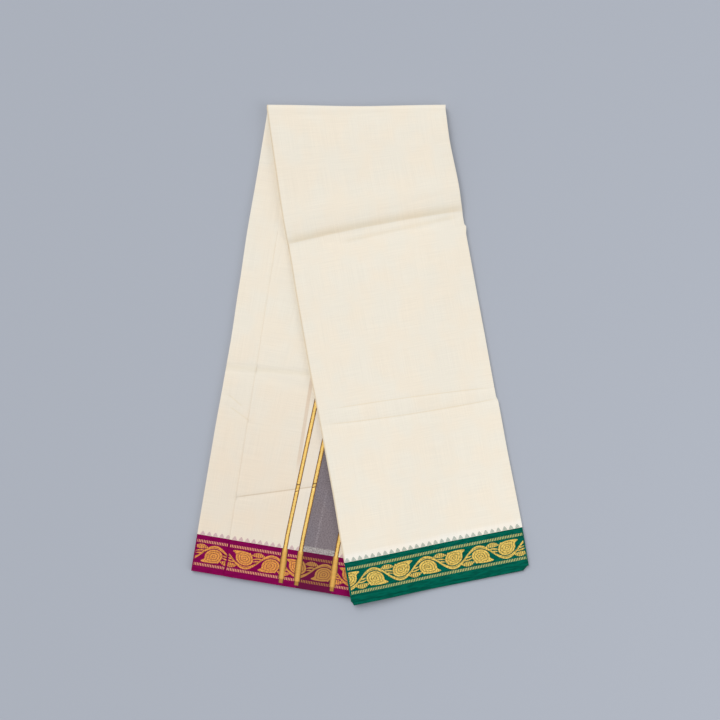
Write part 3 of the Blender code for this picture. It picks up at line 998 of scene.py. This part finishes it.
# Two marks of painted shade where the low crease crosses the gold: how they tilt, and where they lie down the
# leg
SHADED_CROSSINGS = (
    {"tilt": 0.24, "from": 488.2 * MM, "to": 489.4 * MM},
    {"tilt": 0.42, "from": 496.7 * MM, "to": 497.9 * MM},
)


def stripe_threads(wider):
    """The three stripes drawn flat, each part made wider than its gold by so much at both sides."""
    threads = bmesh.new()
    starts = [part["from"] * MM for part in STRIPE_PARTS]
    for place in STRIPES.values():
        for part, start, end in zip(STRIPE_PARTS, starts, starts[1:] + [STRIPE_TOP]):
            half = part["half"] * MM + wider
            rows = max(2, round((end - start) / (2.5 * MM)))
            add_patch(threads, 2, rows, lambda s, t: (
                place + half * (2 * s - 1), start + (end - start) * t))
    bmesh.ops.remove_doubles(threads, verts=threads.verts, dist=1e-6)
    return threads


def on_stripes(lift):
    """Gives the placing of threads on the loose end, from the first stripe and up from the selvedge."""
    def place(across, up):
        v = LEG_LENGTH - up
        return spot(("back", v), stripe_line(v) + across, -LOOSE_HALF - lift, 1.0), (across, v)
    return place


def beside_stripes(tree, x, half):
    """Within so much of the middle of any stripe."""
    near = [band(tree, x, place - half, place + half, 0.35 * MM) for place in STRIPES.values()]
    return maths(tree, "MAXIMUM", near[0], maths(tree, "MAXIMUM", near[1], near[2]))


def stripe_bright(tree, x, y):
    """The middle threads of each stripe, which catch the light."""
    return beside_stripes(tree, x, BRIGHT_HALF)


def stripe_rim(tree, x, y):
    """The duller threads at its sides, where it is wide."""
    return maths(tree, "SUBTRACT", 1.0, beside_stripes(tree, x, RIM_FROM))


def stripe_crossing_shade(tree, x, y):
    """The two dark marks of painted shade where the low crease crosses the gold."""
    marks = []
    for mark in SHADED_CROSSINGS:
        line = maths(tree, "ADD", y, maths(tree, "MULTIPLY", x, mark["tilt"]))
        marks.append(band(tree, line, mark["from"], mark["to"], 0.5 * MM))
    return maths(tree, "MAXIMUM", *marks)


stripe_edges = lay_threads("stripe_edges", stripe_threads(STRIPE_EDGE), on_stripes(EDGE_LIFT))
stripes = lay_threads("gold_stripes", stripe_threads(0.0), on_stripes(STRIPE_LIFT))
brown_cotton = woven_cotton("brown_cotton", STRIPE_BROWN, roughness=0.8, sheen=0.0, specular=0.05)
dress(stripe_edges, brown_cotton, "gold_zari")
# Where the low crease crosses the stripes, their gold takes the brown of their edges as painted shade
stripe_zari = zari("stripe_zari", STRIPE_GOLD, STRIPE_SHADE, [
    (stripe_bright, STRIPE_BRIGHT), (stripe_on_border, STRIPE_DULL), (stripe_rim, STRIPE_RIM),
    (stripe_tongue, STRIPE_SHADE), (stripe_crossing_shade, STRIPE_BROWN)])
dress(stripes, stripe_zari, "gold_zari")

# Table: a plain pale cloth-covered table top. It isn't part of the dhoti.

TABLE = (0.420, 0.451, 0.515)
bpy.ops.object.select_all(action="DESELECT")
bpy.ops.mesh.primitive_plane_add(size=8, location=(0, 0, -0.02 * MM))
table = bpy.context.object
table.name = "table_top"
table_cloth = bpy.data.materials.new("table_cloth")
table_cloth.use_nodes = True
table_shader = table_cloth.node_tree.nodes["Principled BSDF"]
table_shader.inputs["Base Color"].default_value = (*TABLE, 1.0)
table_shader.inputs["Roughness"].default_value = 0.9
table_shader.inputs["Specular IOR Level"].default_value = 0.1
table.data.materials.append(table_cloth)

# Light and camera: an even white studio, a broad lamp far above the fold and a little to the left,
# a weak one near the lower right, and a camera that looks straight down.

SKY_STRENGTH = 0.52
KEY_FROM, KEY_STRENGTH, KEY_ANGLE = (-1.5, 2.6, 3.5), 1.66, math.radians(40)
FILL_FROM, FILL_WATTS, FILL_SIZE = (1.7, -0.8, 1.3), 8.0, 1.2
VIEW_WIDTH = 0.9216
LENS, SENSOR = 50, 36
CLOTH_TOP = 11.5 * MM
VIEW_MIDDLE = Vector((-0.45 * MM, -7.3 * MM, CLOTH_TOP))

sky = bpy.data.worlds.new("studio")
sky.use_nodes = True
sky.node_tree.nodes["Background"].inputs["Color"].default_value = (1, 1, 1, 1)
sky.node_tree.nodes["Background"].inputs["Strength"].default_value = SKY_STRENGTH
bpy.context.scene.world = sky
key = bpy.data.lights.new("key", "SUN")
key.energy, key.angle = KEY_STRENGTH, KEY_ANGLE
fill = bpy.data.lights.new("fill", "AREA")
fill.energy, fill.size = FILL_WATTS, FILL_SIZE
for lamp, place in ((key, KEY_FROM), (fill, FILL_FROM)):
    lamp_object = bpy.data.objects.new(lamp.name, lamp)
    lamp_object.location = place
    lamp_object.rotation_euler = Vector(place).to_track_quat("Z", "Y").to_euler()
    bpy.context.scene.collection.objects.link(lamp_object)

camera = bpy.data.cameras.new("camera")
camera.lens, camera.sensor_width = LENS, SENSOR
camera_object = bpy.data.objects.new("camera", camera)
camera_object.location = VIEW_MIDDLE + Vector((0, 0, VIEW_WIDTH * LENS / SENSOR))
bpy.context.scene.collection.objects.link(camera_object)
bpy.context.scene.camera = camera_object
bpy.context.scene.view_settings.view_transform = "Standard"
